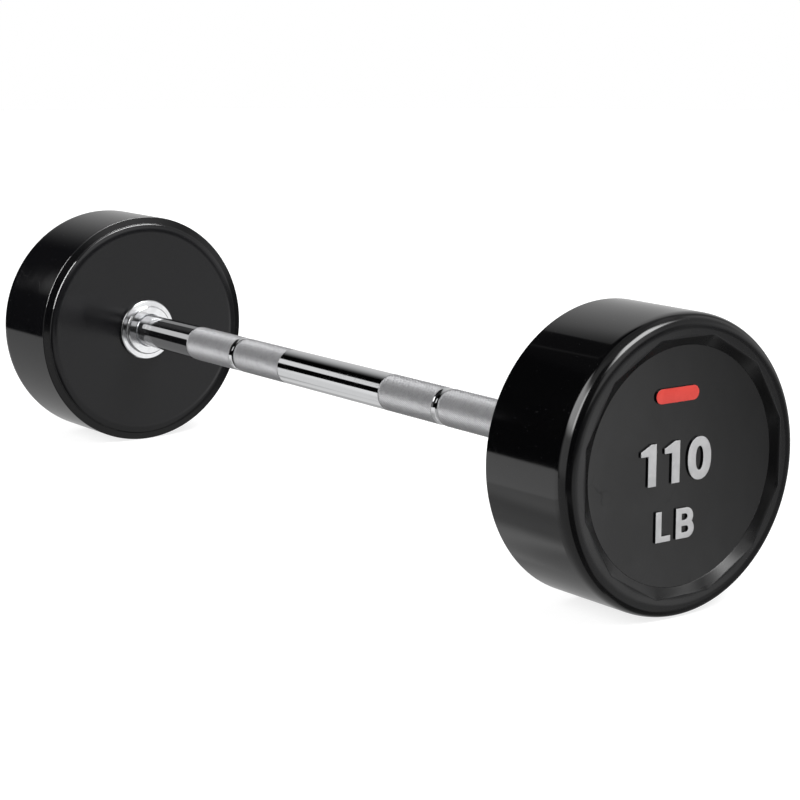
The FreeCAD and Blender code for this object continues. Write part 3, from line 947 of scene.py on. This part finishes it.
# each part of the room: middle azimuth from +X towards +Y, half width, middle elevation,
# half height, softness of sides, softness of top and foot, lean (degrees of azimuth for
# each degree of elevation) and level; later ones lie over earlier ones
roomParts = [
    ("sideCurtain", 90, 38, -10, 62, 8, 5, 0.0, 0.14),
    ("sideFill", 96, 12, -5, 9, 5, 4, 0.0, 0.45),
    ("sideCurtainHigh", 80, 32, 25, 24, 8, 5, 0.0, 0.75),
    ("ceiling", 0, 200, 84, 14, 1, 6, 0.0, 0.32),
    ("ceilingBack", 175, 55, 60, 14, 10, 6, 0.0, 0.22),
    ("darkCard", 197, 48, 23, 31.5, 6, 0.8, 0.0, 0.001),
    ("stripLamp", 207, 5.8, 19.5, 7, 0.5, 1.2, 0.7, 0.95),
    ("backdrop", 136, 27, 17, 25, 20, 5, -0.3, 0.68),
    ("backdropEdge", 106, 10, 20, 30, 5, 5, 0.0, 0.25),
    ("flagEdge", 201, 30, 48, 9.2, 0.5, 1.5, 0.0, 0.02),
    ("flagSlit", 185, 0.5, 42, 6, 0.3, 1, 0.0, 0.12),
    ("floorLeft", 182, 32, -22, 13.5, 6, 0.6, 0.0, 0.5),
    ("floorBack", 185, 14, -37, 4, 4, 1.5, 0.0, 0.85),
    ("floorMiddle", 208, 4, -21, 12, 1.2, 1.0, -0.75, 0.88),
    ("floorFoot", 224, 11.5, -20, 8, 2.5, 4, 0.0, 0.8),
    ("floorFront", 224, 11.5, -12.7, 7.5, 2.5, 0.5, 0.0, 1.05),
    ("frontWall", 265, 28, 9, 15, 8, 5, 0.0, 0.85),
    ("keySoftbox", 259, 35, 36, 14, 3, 6, 0.5, 5.0),
    ("keyHeart", 282, 7.5, 36, 13, 2, 4, 0.0, 9.0),
    ("rightCard", 321.5, 30.5, 24, 42, 4, 5, 0.0, 0.0),
    ("rightWall", 18, 24, 25, 13, 8, 4, 0.0, 1.0),
    ("rightGap", 10, 32, 3, 9.5, 5, 2.5, 0.0, 0.06),
    ("sideBright", 52, 20, 28, 14, 7, 6, 0.0, 0.5),
    ("sheetShade", 52, 9, -11, 9, 3, 3, 0.0, 0.12),
    ("floorRight", 333, 27, -54, 36, 5, 4, 0.0, 0.06),
    ("floorDeep", 35, 75, -66, 14, 10, 4, 0.0, 0.1),
    ("rightSheet", 34.0, 10.4, -12.5, 5.5, 3.2, 2, 0.35, 1.2),
    ("farSheet", 27, 8, -10, 8, 2.5, 3, 0.0, 0.6),
    ("overheadSoftbox", 20, 30, 57, 13, 12, 5, 0.0, 12.0),
]


def makeRoomPart():
    tree, start, end = newGroup(
        "roomPart", [("Azimuth", floatSocket, 0.0), ("Elevation", floatSocket, 0.0),
                     ("Under", floatSocket, 0.0), ("Toward", floatSocket, 0.0),
                     ("Half Width", floatSocket, 10.0), ("Height", floatSocket, 0.0),
                     ("Half Height", floatSocket, 10.0), ("Side Softness", floatSocket, 1.0),
                     ("Top Softness", floatSocket, 1.0), ("Lean", floatSocket, 0.0),
                     ("Level", floatSocket, 1.0)],
        [("Light", floatSocket)])
    rise = calc(tree, "SUBTRACT", start["Elevation"], start["Height"])
    leant = calc(tree, "MULTIPLY_ADD", rise, start["Lean"], start["Azimuth"])
    turn = calc(tree, "WRAP", calc(tree, "SUBTRACT", leant, start["Toward"]), 180.0, -180.0)
    masks = []
    for off, half, soft in ((turn, "Half Width", "Side Softness"),
                            (rise, "Half Height", "Top Softness")):
        masks.append(fade(tree, calc(tree, "ABSOLUTE", off),
                          calc(tree, "SUBTRACT", start[half], start[soft]),
                          calc(tree, "ADD", start[half], start[soft]), 1.0, 0.0))
    share = calc(tree, "MULTIPLY", *masks)
    rest = calc(tree, "MULTIPLY", calc(tree, "SUBTRACT", 1.0, share), start["Under"])
    tree.links.new(calc(tree, "MULTIPLY_ADD", share, start["Level"], rest), end["Light"])
    return tree


def makeRoom():
    world = bpy.data.worlds.new("studioRoom")
    bpy.context.scene.world = world
    world.use_nodes = True
    tree = world.node_tree
    tree.nodes.clear()
    way = addNode(tree, "ShaderNodeTexCoord").outputs["Generated"]
    parts = addNode(tree, "ShaderNodeSeparateXYZ", {"Vector": way}).outputs
    degrees = 180 / math.pi
    azimuth = calc(tree, "MULTIPLY", calc(tree, "ARCTAN2", parts["Y"], parts["X"]), degrees)
    elevation = calc(tree, "MULTIPLY", calc(tree, "ARCSINE", parts["Z"]), degrees)
    part = makeRoomPart()
    light = studioSpec["roomLevel"]
    for name, toward, half, height, halfHeight, soft, topSoft, lean, level in roomParts:
        light = useGroup(tree, part, {
            "Azimuth": azimuth, "Elevation": elevation, "Under": light, "Toward": toward,
            "Half Width": half, "Height": height, "Half Height": halfHeight,
            "Side Softness": soft, "Top Softness": topSoft, "Lean": lean,
            "Level": level})["Light"]
        light.node.label = name
    seen = addNode(tree, "ShaderNodeLightPath").outputs["Is Camera Ray"]
    white = (1, 1, 1, 1)
    room = addNode(tree, "ShaderNodeBackground", {"Color": white, "Strength": light})
    backdrop = addNode(tree, "ShaderNodeBackground", {"Color": white, "Strength": 1.0})
    mixed = addNode(tree, "ShaderNodeMixShader", {
        0: seen, 1: room.outputs[0], 2: backdrop.outputs[0]})
    addNode(tree, "ShaderNodeOutputWorld", {"Surface": mixed.outputs[0]})


def makeFloor():
    spec = studioSpec
    reach, sides = spec["floorReach"], spec["floorSides"]
    mesh = bpy.data.meshes.new("paperFloor")
    points = [(reach * math.cos(fullTurn * k / sides), reach * math.sin(fullTurn * k / sides),
               spec["floorHeight"]) for k in range(sides)]
    mesh.from_pydata(points, [], [list(range(sides))])
    floor = addObject("paperFloor", mesh)
    material = bpy.data.materials.new("paleFloor")
    material.use_nodes = True
    tree = material.node_tree
    tree.nodes.clear()
    paint = addNode(tree, "ShaderNodeBsdfDiffuse", {"Color": (spec["floorPaint"],) * 3 + (1,)})
    glow = addNode(tree, "ShaderNodeEmission", {"Strength": spec["floorGlow"]})
    both = addNode(tree, "ShaderNodeAddShader", {0: paint.outputs[0], 1: glow.outputs[0]})
    clear = addNode(tree, "ShaderNodeBsdfTransparent")
    glossy = addNode(tree, "ShaderNodeLightPath").outputs["Is Glossy Ray"]
    mixed = addNode(tree, "ShaderNodeMixShader", {
        0: glossy, 1: both.outputs[0], 2: clear.outputs[0]})
    addNode(tree, "ShaderNodeOutputMaterial", {"Surface": mixed.outputs[0]})
    mesh.materials.append(material)


# lamps that shine on one piece only: strips beside the bar's outer plain stretch, drawn in its
# chrome, two softboxes that draw the bright line on the far head's inner edge, and one for the
# collar's faces; each has its piece, middle, azimuth, elevation, distance, length, width and level
lampSpec = [
    ("barStrip", "knurledBar", -0.292, -90, 29, 0.020, 0.096, 0.0076, 0.70),
    ("barTop", "knurledBar", -0.292, 90, 89, 0.020, 0.096, 0.009, 0.25),
    ("barFoot", "knurledBar", -0.292, -90, -45, 0.020, 0.096, 0.026, 0.16),
    ("edgeSide", "leftJacket", -0.35, 275, 36, 1.2, 0.45, 0.9, 26.0),
    ("edgeTop", "leftJacket", -0.35, 40, 56, 1.2, 0.8, 0.35, 26.0),
    ("collarSheet", "leftCollar", -0.345, 29, -9, 1.2, 0.5, 0.5, 0.45)]


def makeLamps():
    for name, target, middle, azimuth, elevation, reach, length, width, level in lampSpec:
        data = bpy.data.lights.new(name, "AREA")
        data.shape = "RECTANGLE"
        data.size = length
        data.size_y = width
        data.energy = level * math.pi * length * width
        turn, rise = math.radians(azimuth), math.radians(elevation)
        way = Vector((math.cos(rise) * math.cos(turn), math.cos(rise) * math.sin(turn),
                      math.sin(rise)))
        lamp = addObject(name, data)
        lamp.location = Vector((middle, 0, 0)) + way * reach
        lamp.rotation_euler = (math.pi / 2 - rise, 0, turn + math.pi / 2)
        lamp.visible_camera = False
        lit = bpy.data.collections.new(name + "Lit")
        lit.objects.link(bpy.data.objects[target])
        lamp.light_linking.receiver_collection = lit


def makeCamera():
    spec = cameraSpec
    data = bpy.data.cameras.new("photoCamera")
    data.lens = spec["lens"]
    data.sensor_width = spec["sensorWidth"]
    camera = addObject("photoCamera", data)
    place, target = Vector(spec["place"]), Vector(spec["target"])
    camera.location = place
    camera.rotation_euler = (place - target).to_track_quat("Z", "Y").to_euler()
    bpy.context.scene.camera = camera


makeRoom()
makeFloor()
makeLamps()
makeCamera()
bpy.context.scene.view_settings.view_transform = "Standard"
print("studio made")
